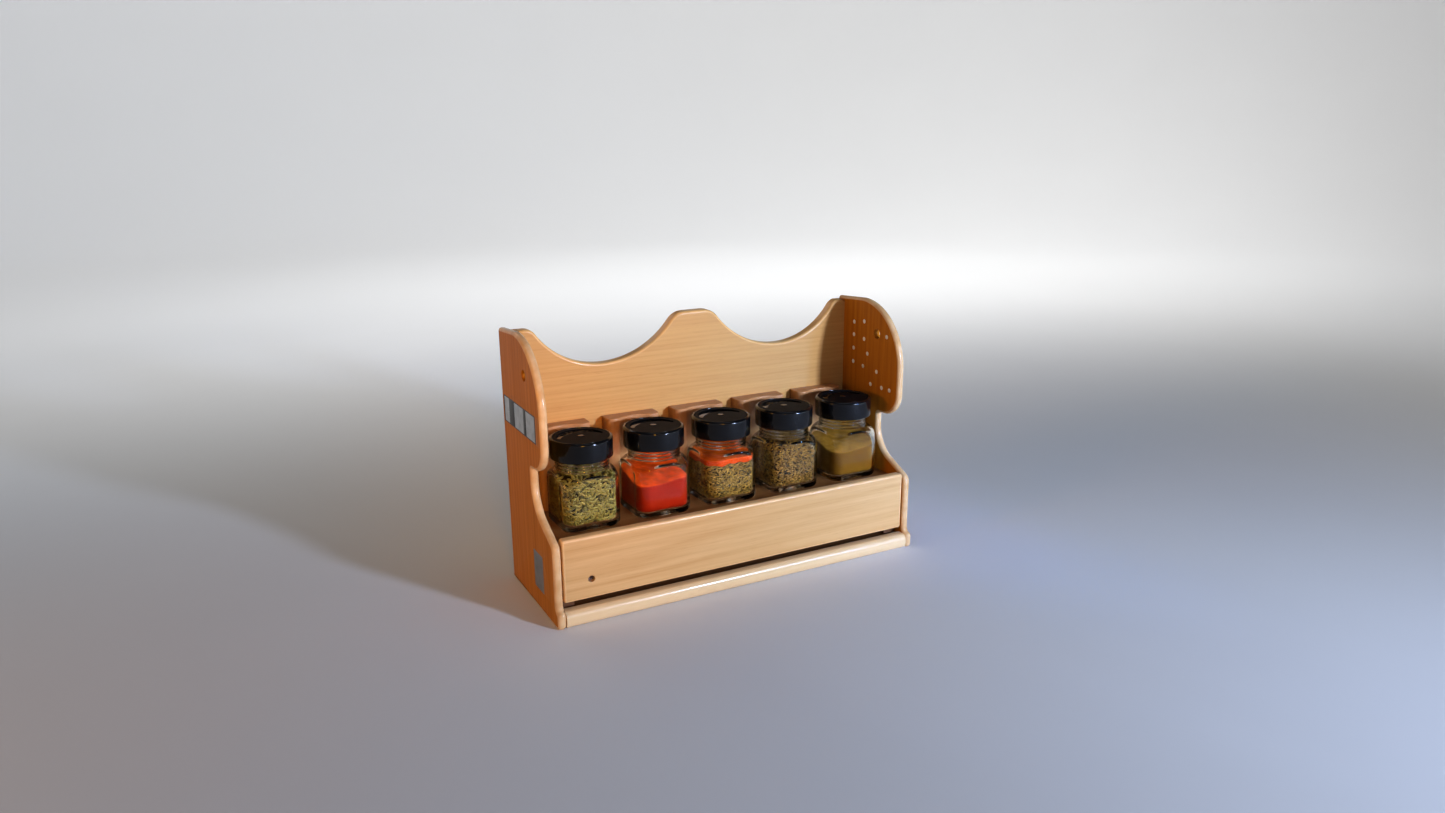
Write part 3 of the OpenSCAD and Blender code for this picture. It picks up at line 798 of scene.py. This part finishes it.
def turned_radius(h, drop, neck, foot):
    """Radius of the turned shoulder and neck at height h; drop is how far in from the glass outside."""
    reach = REACH - drop + 0.1
    rise = (h - SHOULDER_H) / (foot - SHOULDER_H)
    if rise <= 0:
        return reach + 2
    if rise >= 1:
        return neck
    turn = math.asin(rise)
    return neck + (reach - neck) * math.cos(turn) ** 0.8


def section(h, angles, drop, neck, foot, floor):
    """Radius round the jar at height h, for the outside (drop 0) or for an inner surface."""
    w = JAR_W - 2 * drop
    flat = square_radius(angles, w, JAR_R - drop * 0.9)
    r = soft_min(flat, np.full_like(flat, turned_radius(h, drop, neck, foot)), 1.6)
    up = h - floor
    if up < HEEL:
        r = r - (HEEL - math.sqrt(max(HEEL * HEEL - (HEEL - up) ** 2, 0)))
    return r


def rising(top, k):
    """Heights up the shoulder, closer together towards its top."""
    return SHOULDER_H + (top - SHOULDER_H) * math.sin(math.radians(90 * k / 17))


def outside_rows(a):
    """From the middle of the underside up to the foot of the neck."""

    def outer(h):
        return section(h, a, 0, NECK_R, NECK_FOOT, 0)

    hollow = ((0.15, 1.1), (0.5, 1.05), (0.8, 0.8), (0.9, 0.35), (0.96, 0.06))
    rows = [(outer(0.0) * share, h) for share, h in hollow]
    heights = [0.0, 0.15, 0.5, 1.0, 1.7, 2.6, 3.6, 5, 9, 14, 20, 26, 31, 35, 37]
    heights += [rising(NECK_FOOT, k) for k in range(1, 17)]
    return rows + [(outer(h), h) for h in heights]


def neck_rows():
    """The neck with three beads of thread and two collars, and its round lip."""
    rows = [(NECK_R, NECK_FOOT + 0.6)]
    for bead in (54.2, 57.4, 60.6):
        rows += [(NECK_R - 0.15 + 1.05 * cos_of(t), bead + 1.15 * sin_of(t)) for t in range(-90, 91, 30)]
    collars = [(66.5, 0), (67.1, 0.6), (67.9, 0.6), (68.5, 0), (71.5, 0), (72.1, 0.6), (72.9, 0.6), (73.5, 0)]
    rows += [(NECK_R + out, h) for h, out in [(62.6, 0), (64, 0)] + collars + [(76.6, 0)]]
    lip = (NECK_R - BORE_R) / 2
    lip_r = (NECK_R + BORE_R) / 2
    rows += [(lip_r + lip * cos_of(t), JAR_H - 0.9 + 0.9 * sin_of(t)) for t in range(30, 151, 30)]
    rows += [(BORE_R, h) for h in (74, 66, 58, 52)]
    return [(np.full(AROUND, r), h) for r, h in rows]


def inside_rows(a):
    """From the inner shoulder down to the middle of the jar's floor."""

    def inner(h):
        return section(h, a, WALL, BORE_R, NECK_FOOT - WALL, FLOOR)

    heights = [rising(NECK_FOOT - WALL, k) for k in range(16, 0, -1)] + [37, 33, 26, 18, 12]
    heights += [FLOOR + up for up in (4, 3, 2, 1.2, 0.6, 0.2, 0)]
    rows = [(inner(h), h) for h in heights]
    return rows + [(inner(FLOOR) * share, FLOOR + 0.25 * (1 - share)) for share in (0.9, 0.6, 0.3)]


def grid(name, material, a, rows, centre, ends):
    """A closed shape from rings of polar radii in millimetres round a jar's axis."""
    verts = with_ends([row_at(r, a, h) for r, h in rows], *ends) * MM + np.array(centre)
    return make_object(name, verts, ring_faces(len(rows), len(a)), material)


def jar_glass(i):
    a = turns(AROUND) + math.pi / AROUND
    rows = outside_rows(a) + neck_rows() + inside_rows(a)
    o = grid(f"jar_{i}_glass", jar_clear, a, rows, jar_centre(i), (1.1, FLOOR + 0.25))
    settle(o, f"jar_{i}", "jar_glass", f"jar_glass_{i}")


# ---- spices


def cavity(h, a, gap):
    """Inner radius of a jar at height h, less a gap."""
    return section(h, a, WALL + gap, BORE_R - gap, NECK_FOOT - WALL - gap, FLOOR + gap)


def level(slope, x, y):
    """Height of a sloping surface of spice, in millimetres. The slope is its height at the front, at
    the back, and how much higher it is on the right than on the left."""
    front, back, lean = slope
    return (front + back) / 2 + ((back - front) * y + lean * x) / JAR_W


def cavity_row(heights, angles, gap):
    """The same for a height at each angle."""
    return np.array([cavity(float(h), np.array([a]), gap)[0] for h, a in zip(heights, angles)])


def rippled(h, waves, x, y, height, stretch=1, twist=0):
    """Height h with soft ripples; each wave is (frequency, direction, phase)."""
    for f, turn, phase in waves:
        along = x * math.cos(turn + twist) + y * math.sin(turn + twist)
        h = h + height * np.sin(stretch * f * along + phase)
    return h


POWDER_GAP = 0.3


def powder_fill(name, material, i, slope, seed, below=None, bumps=1.0):
    """Powder up to a soft, uneven surface, or a layer of it on top of another level."""
    a = turns(AROUND)
    rng = np.random.default_rng(seed)
    waves = [(rng.uniform(0.10, 0.34), rng.uniform(0, 6.28), rng.uniform(0, 6.28)) for _ in range(7)]

    def top(x, y, lift=0.0):
        return rippled(level(slope, x, y) + lift, waves, x, y, bumps * 0.42)

    def bottom(x, y):
        if below is None:
            return np.full_like(x, FLOOR + 0.25)
        return rippled(level(below, x, y), waves[:4], x, y, 0.35, 1.7, 1)

    rows = []
    inner_floor = cavity(FLOOR + 0.3, a, POWDER_GAP)
    for share in (0.25, 0.5, 0.75):
        r = inner_floor * share
        rows.append((r, bottom(r * np.cos(a), r * np.sin(a))))
    mid = cavity(STRAIGHT_H, a, POWDER_GAP)
    lo = bottom(mid * np.cos(a), mid * np.sin(a))
    hi = top(mid * np.cos(a), mid * np.sin(a), -0.5)
    steps = 14
    for k in range(steps + 1):
        t = k / steps
        h = lo + (hi - lo) * (t if below is not None else t ** 1.3)
        rows.append((cavity_row(h, a, POWDER_GAP), h))
    rim = rows[-1][0]
    for share in (0.985, 0.95, 0.88, 0.78, 0.66, 0.52, 0.38, 0.24, 0.1):
        r = rim * share
        rows.append((r, top(r * np.cos(a), r * np.sin(a))))
    ends = (float(bottom(np.zeros(1), np.zeros(1))[0]), float(top(0.0, 0.0)))
    return grid(name, material, a, rows, jar_centre(i), ends)


def seed_shape(sides, bend):
    """One ribbed seed along X, slightly bent, as unit points and faces."""
    stops = ((-0.5, 0.12), (-0.36, 0.68), (-0.12, 1.0), (0.14, 0.96), (0.36, 0.6), (0.5, 0.1))
    verts = []
    for x, r in stops:
        for j in range(sides):
            t = 2 * math.pi * j / sides
            rib = 1.0 if j % 2 else 0.8
            half = r * rib / 2
            verts.append((x, half * math.cos(t), half * 0.85 * math.sin(t) + bend * (x * x - 0.1)))
    faces = []
    for k in range(len(stops) - 1):
        p, q = k * sides, (k + 1) * sides
        faces += [(p + j, q + j, q + (j + 1) % sides, p + (j + 1) % sides) for j in range(sides)]
    faces.append(tuple(range(sides)))
    faces.append(tuple(reversed(range((len(stops) - 1) * sides, len(stops) * sides))))
    return np.array(verts), faces


UNROLLED_R = 29.5
OVERLAP = 0.42


def seed_frames(rng, count, slope, length, width, depth, wobble):
    """Places and directions of seeds against the glass at one depth, mostly level, none across its
    neighbour on the unrolled wall."""
    found, spots = [], np.empty((0, 2))
    for _ in range(count * 4):
        if len(found) >= count:
            break
        a = rng.uniform(0, 2 * math.pi)
        edge = cavity(STRAIGHT_H, np.array([a]), 0)[0]
        top = level(slope, edge * math.cos(a), edge * math.sin(a)) - width * 0.4
        h = rng.uniform(FLOOR + width * 0.6, top)
        turn = rng.normal(0.1, 0.75)
        spot = np.array([a * UNROLLED_R, h])
        away = spots - spot
        lengthways = away @ np.array([math.cos(turn), math.sin(turn)])
        sideways = away @ np.array([-math.sin(turn), math.cos(turn)])
        if np.any((lengthways / length) ** 2 + (sideways / width) ** 2 < OVERLAP):
            continue
        spots = np.vstack([spots, spot])
        p, along, up, normal = wall_axes(a, h, depth)
        tilt = rng.normal(0, wobble)
        x = along * math.cos(turn) + up * math.sin(turn)
        x = x * math.cos(tilt) + normal * math.sin(tilt)
        found.append((p, x / np.linalg.norm(x), normal))
    return found


def wall_axes(a, h, depth):
    """A point at one depth inside the glass, with the directions along it, up it and out of it."""

    def point(angle, height):
        r = cavity(height, np.array([angle]), depth)[0]
        return np.array([r * math.cos(angle), r * math.sin(angle), height])

    p = point(a, h)
    along = point(a + 0.02, h) - p
    along /= np.linalg.norm(along)
    up = point(a, min(h + 0.8, 62)) - p
    up = up - along * (up @ along)
    up /= np.linalg.norm(up)
    return p, along, up, np.cross(along, up)


def surface_frames(rng, count, slope, width):
    """Places and directions of seeds that lie loose on the top of the fill."""
    found = []
    while len(found) < count:
        x, y = rng.uniform(-24, 24, 2)
        a, r = math.atan2(y, x), math.hypot(x, y)
        h = level(slope, x, y) + rng.uniform(-0.6, 0.5) * width
        if r > cavity(min(h, 60), np.array([a]), 1.6)[0]:
            continue
        turn = rng.uniform(0, 2 * math.pi)
        tilt = rng.normal(0, 0.35)
        level_share = math.cos(tilt)
        direction = np.array([math.cos(turn) * level_share, math.sin(turn) * level_share, math.sin(tilt)])
        found.append((np.array([x, y, h]), direction, np.array([0, 0, 1.0])))
    return found


def seed_fill(name, material, i, slope, length, width, counts, seed, sides=6):
    """A jar of seeds: a heap inside, nearly black as painted shade between the seeds, two layers against the
    glass and a loose top.
    """
    rng = np.random.default_rng(seed)
    frames = seed_frames(rng, counts[0], slope, length, width, width * 0.55 + 0.25, 0.07)
    frames += seed_frames(rng, counts[1], slope, length, width, width * 1.35, 0.35)
    frames += surface_frames(rng, counts[2], slope, width)
    verts, faces, tint = [], [], []
    shapes = [seed_shape(sides, bend) for bend in (-0.25, 0.0, 0.3)]
    start = 0
    for p, x, n in frames:
        unit, shape_faces = shapes[rng.integers(0, 3)]
        size = rng.uniform(0.78, 1.15)
        z = n - x * (n @ x)
        z /= np.linalg.norm(z)
        basis = np.stack([x * length * size, np.cross(z, x) * width * rng.uniform(0.8, 1.15),
                          z * width * rng.uniform(0.8, 1.1)])
        verts.append(unit @ basis + p)
        faces += [tuple(start + k for k in f) for f in shape_faces]
        tone = float(np.clip(rng.normal(0.6, 0.2), 0.05, 1))
        tint += [tone if j % 2 else tone * 0.72 for j in range(len(unit))]
        start += len(unit)
    core_verts, core_faces = heap(slope, width)
    verts.append(core_verts)
    faces += [tuple(start + k for k in f) for f in core_faces]
    # the heap takes the darkest seed colour: painted shade for the depth of the fill
    tint += [0.05] * len(core_verts)
    flat = np.concatenate(verts) * MM + np.array(jar_centre(i))
    return make_object(name, flat, faces, material, tint=tint, fix=False)


def heap(slope, width):
    """The heap behind two layers of seeds of this width, in millimetres."""
    n, rows = 72, 9
    a = turns(n)
    gap = width * 1.9
    floor = FLOOR + 0.4
    rim = cavity(STRAIGHT_H, a, gap)
    hi = level(slope, rim * np.cos(a), rim * np.sin(a)) - width * 0.5
    heights = [floor + (hi - floor) * k / (rows - 1) for k in range(rows)]
    verts = [row_at(cavity_row(h, a, gap), a, h) for h in heights]
    return with_ends(verts, floor, level(slope, 0, 0) - width * 0.5), ring_faces(rows, n)


def spices():
    """Green seeds, red powder, mixed seeds under orange powder, brown seeds, olive powder."""
    # each seed material's last colour is near black, for dark seeds and flecks and for the painted shade of
    # the heap
    fennel = seeds_material("spice_green_seed", (0.56, 0.44, 0.12), (0.29, 0.22, 0.045),
                            (0.014, 0.010, 0.002))
    mixed = seeds_material("spice_mixed_seed", (0.66, 0.38, 0.07), (0.36, 0.195, 0.03),
                           (0.028, 0.015, 0.003))
    cumin = seeds_material("spice_brown_seed", (0.58, 0.30, 0.05), (0.31, 0.145, 0.022),
                           (0.026, 0.012, 0.002))
    # each powder's last colour is its paler grains and also its painted lit top
    paprika = powder("spice_red_powder", (0.27, 0.009, 0.001), (0.17, 0.005, 0.001),
                     (0.98, 0.105, 0.003))
    orange = powder("spice_orange_powder", (0.62, 0.066, 0.003), (0.44, 0.033, 0.002),
                    (0.84, 0.13, 0.006))
    olive = powder("spice_olive_powder", (0.155, 0.060, 0.004), (0.10, 0.037, 0.003),
                   (0.42, 0.19, 0.022))
    divide = (39.5, 39.5, 0)
    settle(seed_fill("jar_1_seeds", fennel, 1, (49, 50, 0), 6.2, 2.2, (1200, 900, 240), 11),
           "jar_1", "spice_green_seed", "spice_1")
    settle(powder_fill("jar_2_powder", paprika, 2, (32, 44, 5), 22, bumps=0.35),
           "jar_2", "spice_red_powder", "spice_2")
    settle(seed_fill("jar_3_seeds", mixed, 3, divide, 4.3, 1.55, (1700, 900, 60), 33, 5),
           "jar_3", "spice_mixed_seed", "spice_3")
    settle(powder_fill("jar_3_powder", orange, 3, (44, 46, 1), 34, divide, 0.7),
           "jar_3", "spice_orange_powder", "spice_3_top")
    settle(seed_fill("jar_4_seeds", cumin, 4, (48, 49, 0), 4.5, 1.55, (1900, 1000, 300), 44, 5),
           "jar_4", "spice_brown_seed", "spice_4")
    settle(powder_fill("jar_5_powder", olive, 5, (31, 43, 6), 55, bumps=0.4),
           "jar_5", "spice_olive_powder", "spice_5")


# ---- caps

CAP_R, CAP_BORE = 28.5, 25.6
DECK_Z = JAR_H + 0.9
DECK_T = 1.6
SIFTER_AT_BACK = {1, 4, 5}


def round_jar(c, points):
    """Points in millimetres round a jar's axis, as places in metres."""
    return [(c.x + x * MM, c.y + y * MM) for x, y in points]


def sifter_spots(i):
    """Centres of the sifter holes, at the back or turned away to the front."""
    middle = 90 if i in SIFTER_AT_BACK else 270
    return [(r * cos_of(middle + a), r * sin_of(middle + a))
            for r, angles in ((18.0, range(-48, 49, 16)), (14.0, range(-24, 25, 16))) for a in angles]


def skirt_profile(z0, z1):
    """(radius, height) in millimetres round the cap's shell, from the deck down, out and up to the rim."""
    edge = 2.5
    shell = [(CAP_BORE, DECK_Z), (CAP_BORE, 70), (CAP_BORE, z0 + 0.5), (CAP_BORE + 0.35, z0 + 0.1),
             (CAP_R - 1.0, z0), (CAP_R - 0.45, z0 + 0.12), (CAP_R - 0.12, z0 + 0.5),
             (CAP_R - 0.1, z0 + 1.2), (CAP_R, z0 + 1.7), (CAP_R, 70), (CAP_R, 74)]
    shell += [(CAP_R - edge + edge * cos_of(t), z1 - edge + edge * sin_of(t)) for t in range(0, 91, 10)]
    return shell + [(CAP_BORE + 0.5, z1), (CAP_BORE + 0.15, z1 - 0.12), (CAP_BORE, z1 - 0.4),
                    (CAP_BORE, DECK_Z + DECK_T), (CAP_BORE, DECK_Z)]


def cap(i):
    """Skirt and rim as one turned shell, a pierced deck, and the stud that the dial turns on."""
    c = jar_centre(i)
    lo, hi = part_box(f"cap_{i}")
    z1 = (hi.z - c.z) / MM
    n = 120
    shell = skirt_profile((lo.z - c.z) / MM, z1)
    verts = np.concatenate([row_at(r, turns(n), h) for r, h in shell]) * MM + np.array(c)
    skirt = make_object(f"cap_skirt_{i}", verts, ring_faces(len(shell), n, False), cap_black)
    holes = [round_jar(c, circle(x, y, 1.25, 16)) for x, y in sifter_spots(i)]
    deck_z, deck_top = c.z + DECK_Z * MM, c.z + (DECK_Z + DECK_T) * MM
    deck = plate(f"cap_deck_{i}", cap_black, round_jar(c, circle(0, 0, CAP_BORE, 96)), deck_z, deck_top,
                 0.15 * MM, "z", holes=holes, steps=2)
    top = z1 - 0.05
    head = [(3.2, 0.28), (3.3, 0.15), (2.4, 0.03), (1.2, 0)]
    profile = [(2 * MM, deck_top), (2 * MM, c.z + (top - 0.3) * MM)]
    profile += [(r * MM, c.z + (top - down) * MM) for r, down in head]
    stud = lathe(f"cap_stud_{i}", cap_black, profile, (c.x, c.y, 0), 32)
    settle(join(f"cap_{i}_shell", [skirt, deck, stud]), f"lid_{i}", "cap_black", f"cap_{i}")


def crescent(r, off):
    """A disc less the same disc moved off to the front, its tips cut short."""
    low = math.degrees(math.asin(-off / 2 / r))
    high = math.degrees(math.asin((-off / 2 + off) / r))
    tip = 3
    return (arc(0, 0, r, low, 180 - low, 40)[tip:-tip]
            + arc(0, -off, r, 180 - high, high, 40)[tip:-tip])


def dial(i):
    """The shaker disc, with a crescent window at the back."""
    c = jar_centre(i)
    lo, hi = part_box(f"shaker_dial_{i}")
    holes = [round_jar(c, points) for points in (crescent(21.6, 10.5), circle(0, 0, 2.06, 24))]
    rim = round_jar(c, circle(0, 0, CAP_BORE - 0.35, 96))
    o = plate(f"dial_{i}_disc", dial_black, rim, lo.z, hi.z, 0.22 * MM, "z", holes=holes, steps=3)
    settle(o, f"dial_{i}", "dial_black", f"shaker_dial_{i}")


# ---- nodes that keep their CAD shape


def dress(material, *nodes):
    """CAD nodes that are shown as they are take a material."""
    for n in nodes:
        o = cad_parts[n]
        o.data.materials.clear()
        o.data.materials.append(material)


# ---- studio


def studio_floor():
    """A pale floor that curves up far away, where it also gives a little light."""
    m = Nodes("studio_floor")
    colour = m.mix(m.noise(m.place(), 3, 3), (0.74, 0.74, 0.74), (0.79, 0.79, 0.785))
    reach = m.add("ShaderNodeVectorMath", {0: m.place()}, operation="LENGTH").outputs["Value"]
    far = m.add("ShaderNodeMapRange", {"Value": reach, "From Min": 0.3, "From Max": 2.0, "To Max": 0.30},
                interpolation_type="SMOOTHSTEP").outputs[0]
    floor = m.surface(Base_Color=colour, Roughness=0.8, Emission_Color=(1, 1, 1), Emission_Strength=far)
    radius, rise = 3.0, 1.6
    profile = [(0.2, 0.0), (1.0, 0.0), (2.0, 0.0), (radius, 0.0)]
    profile += [(radius + rise * sin_of(t), rise * (1 - cos_of(t))) for t in range(6, 91, 6)]
    n = 96
    rows = [row_at(r, turns(n), h) for r, h in profile]
    verts = np.concatenate(rows + [np.zeros((1, 3))])
    faces = ring_faces(len(rows), n, False) + [(len(verts) - 1, (j + 1) % n, j) for j in range(n)]
    o = make_object("studio_floor", verts, faces, floor, fix=False)


def sky():
    world = bpy.data.worlds.new("studio_world")
    world.use_nodes = True
    background = world.node_tree.nodes["Background"]
    background.inputs["Color"].default_value = (0.80, 0.87, 1.0, 1)
    background.inputs["Strength"].default_value = 0.04
    bpy.context.scene.world = world


def lamps():
    """Soft lamps, cooler from the right and warmer from the left, as in the photograph."""
    middle = (0.05, 0, 0.12)
    lamp("key", 21, 13, 1.7, (0.11, 0, 0.14), (0.13, 0.13), 27, (0.75, 0.92, 1.30), 84)
    lamp("cool_front", 24, 10, 0.9, (0.20, 0, 0.09), (0.1, 0.1), 3.3, (0.40, 0.82, 2.1), 26)
    lamp("warm_front", -14, 14, 0.9, (-0.15, 0, 0.17), (0.12, 0.12), 3.8, (1.0, 0.44, 0.02), 27)
    lamp("warm_left", -80, 10, 1.5, (-0.19, 0, 0.16), (0.4, 0.3), 6.4, (1.0, 0.46, 0.08), 60)
    lamp("cool_right", 48, 6, 0.7, (0.17, 0, 0.08), (0.3, 0.2), 0.7, (0.60, 0.82, 1.0), 45)
    lamp("top", 10, 80, 1.6, middle, (1.2, 1.0), 2.2, (0.92, 0.96, 1.0), 160)
    lamp("back", 200, 35, 1.6, middle, (0.9, 0.7), 3.0, (1.0, 0.96, 0.92), 140)
    lamp("backdrop", 0, 50, 2.0, (1.3, 2.2, 0.3), (3.0, 0.6), 55, (1.0, 1.0, 1.0), 130)


def lamp(name, azimuth, elevation, distance, to, size, power, colour, spread):
    """A lamp that faces the point to. Azimuth 0 is straight in front and turns to the right. Power is
    what it would be without a narrowed beam; a beam spread degrees wide keeps its middle as bright."""
    half = math.radians(spread) / 2
    a, e = math.radians(azimuth), math.radians(elevation)
    way = Vector((math.sin(a) * math.cos(e), -math.cos(a) * math.cos(e), math.sin(e)))
    data = bpy.data.lights.new(name, "AREA")
    data.shape = "RECTANGLE"
    data.size, data.size_y = size
    data.energy = power * (1 - half / math.tan(half))
    data.color = colour
    data.spread = math.radians(spread)
    o = show(name, data)
    o.location = Vector(to) + way * distance
    o.rotation_mode = "QUATERNION"
    o.rotation_quaternion = (-way).to_track_quat("-Z", "Y")


def camera():
    """A camera in front and to the left, looking down a little, as the rack is usually seen."""
    data = bpy.data.cameras.new("camera")
    data.lens, data.sensor_width = 25.06, 36
    data.clip_start, data.clip_end = 0.01, 50
    o = show("camera", data)
    yaw, pitch, roll = math.radians(28.23), math.radians(15.23), math.radians(-0.30)
    forward = Vector((math.sin(yaw) * math.cos(pitch), math.cos(yaw) * math.cos(pitch), -math.sin(pitch)))
    o.location = (-0.4357, BACK_Y - 0.8870, 0.4130)
    o.rotation_mode = "QUATERNION"
    turn = forward.to_track_quat("-Z", "Y")
    o.rotation_quaternion = turn @ Matrix.Rotation(roll, 4, "Z").to_quaternion()
    bpy.context.scene.camera = o


# ---- build

camera()
side_boards()
back_board()
front_rail()
plain_board("shelf", shelf_wood_painted_shade, "panel_wood", "root", 0.6, "z")
plain_board("base_board", base_wood_painted_shade, "panel_wood", "root", 0.8, "z")
plain_board("drawer_runner_left", runner_wood_painted_shade, "drawer_wood", "root", 0.6, "z")
plain_board("drawer_runner_right", runner_wood_painted_shade, "drawer_wood", "root", 0.6, "z")
jar_rests()
drawer()
drawer_screw()
strip_and_tiles()
low_plate()
hole_plugs()
for i in JARS:
    jar_glass(i)
    cap(i)
    dial(i)
    dress(seal_white, f"seal_ring_{i}")
spices()
dress(dowel_wood, "base_dowels", "back_dowels", "drawer_pegs")
studio_floor()
sky()
lamps()

view = bpy.context.scene.view_settings
view.view_transform = "Standard"
view.exposure = 0.1
view.gamma = 0.88
